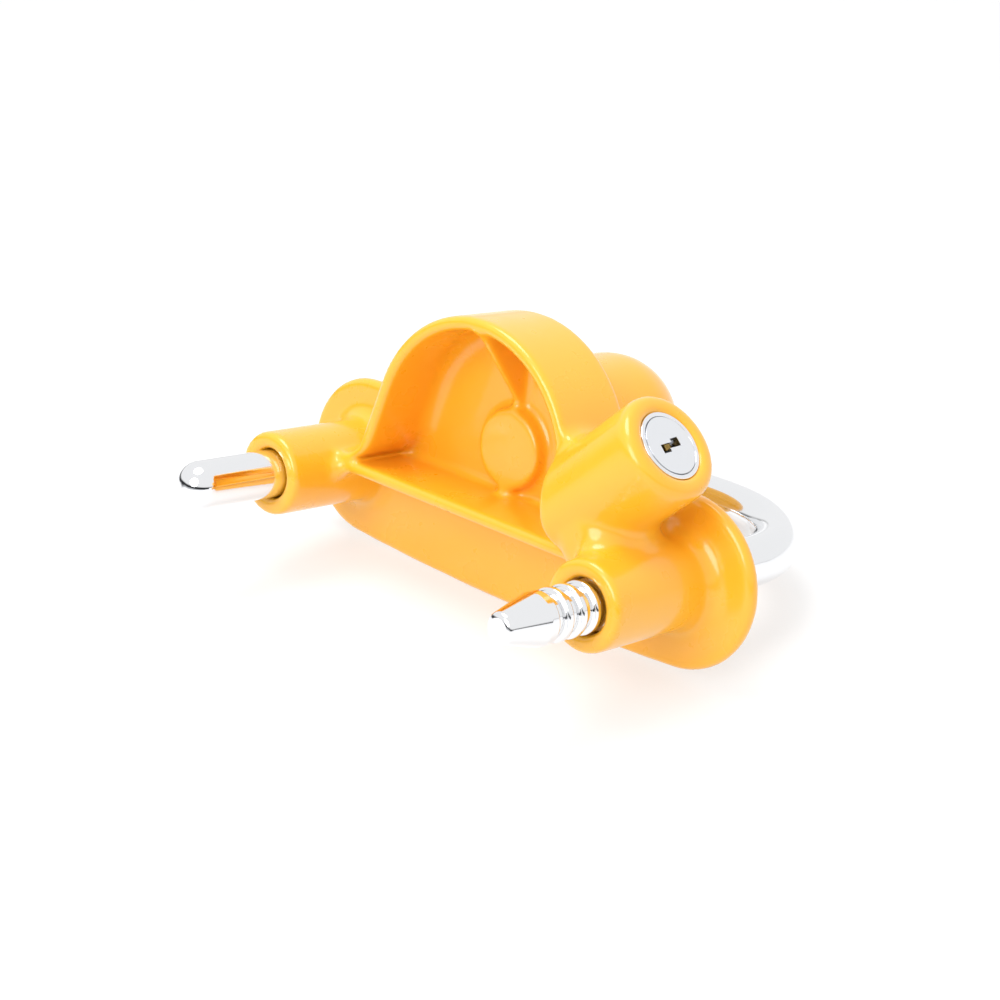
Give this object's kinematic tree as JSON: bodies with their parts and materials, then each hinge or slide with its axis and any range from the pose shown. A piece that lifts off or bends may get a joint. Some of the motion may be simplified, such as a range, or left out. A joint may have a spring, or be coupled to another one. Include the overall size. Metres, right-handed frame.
{
  "type": "trailer coupler lock",
  "caption": "Ratcheting trailer coupler lock: cast body with hood, shield plate, ball-socket post and slanted key barrel, held by a U-shackle with a notched leg.",
  "frame": {"origin": "on the shield plate's rear face, midway between the shackle's two leg axes", "axes": "+X from the plain leg to the notched leg, +Y out of the plate's rear face into the coupler, +Z towards the top of the hood"},
  "size_m": [0.1558, 0.1319, 0.077],
  "materials": {
    "body_enamel": "glossy yellow-orange powder coat over a die casting",
    "shackle_chrome": "bright chromium plate on hardened steel bar",
    "face_chrome": "bright pressed stainless steel",
    "housing_zinc": "satin plated zinc die casting",
    "plug_chrome": "bright nickel-chromium plate on brass",
    "wafer_brass": "stamped brass",
    "spring_steel": "drawn spring wire",
    "seal_rubber": "moulded nitrile rubber",
    "pawl_steel": "ground hardened steel"
  },
  "bodies": {
    "body": {"lock_body": "body_enamel", "cylinder_housing": "housing_zinc", "face_ring": "face_chrome", "cylinder_seal": "seal_rubber", "housing_pin": "pawl_steel", "pawl_spring": "spring_steel"},
    "shackle": {"shackle": "shackle_chrome"},
    "key_cylinder": {"cylinder_plug": "plug_chrome", "plug_clip": "spring_steel", "return_spring": "spring_steel", "wafer_1": "wafer_brass", "wafer_2": "wafer_brass", "wafer_3": "wafer_brass", "wafer_4": "wafer_brass", "wafer_5": "wafer_brass", "wafer_6": "wafer_brass", "wafer_spring_1": "spring_steel", "wafer_spring_2": "spring_steel", "wafer_spring_3": "spring_steel", "wafer_spring_4": "spring_steel", "wafer_spring_5": "spring_steel", "wafer_spring_6": "spring_steel"},
    "pawl": {"locking_pawl": "pawl_steel"}
  },
  "joints": [
    {"name": "shackle_slide", "type": "slide", "parent": "body", "child": "shackle", "axis": [0, 1, 0], "range_m": [-0.0046, 0.0506]},
    {"name": "key_turn", "type": "hinge", "parent": "body", "child": "key_cylinder", "pos_m": [0.06, -0.0184, 0.0371], "axis": [-0.7314, 0, -0.682], "range_deg": [0, 90], "stiffness_Nm_per_rad": 0.02, "springref_deg": -17.19},
    {"name": "pawl_slide", "type": "slide", "parent": "body", "child": "pawl", "axis": [-0.682, 0, 0.7314], "range_m": [0, 0.00142], "deforming": ["pawl_spring"]}
  ],
  "couplings": [
    {"joint": "pawl_slide", "follows": "key_turn", "m_per_rad": 0.00090032}
  ]
}
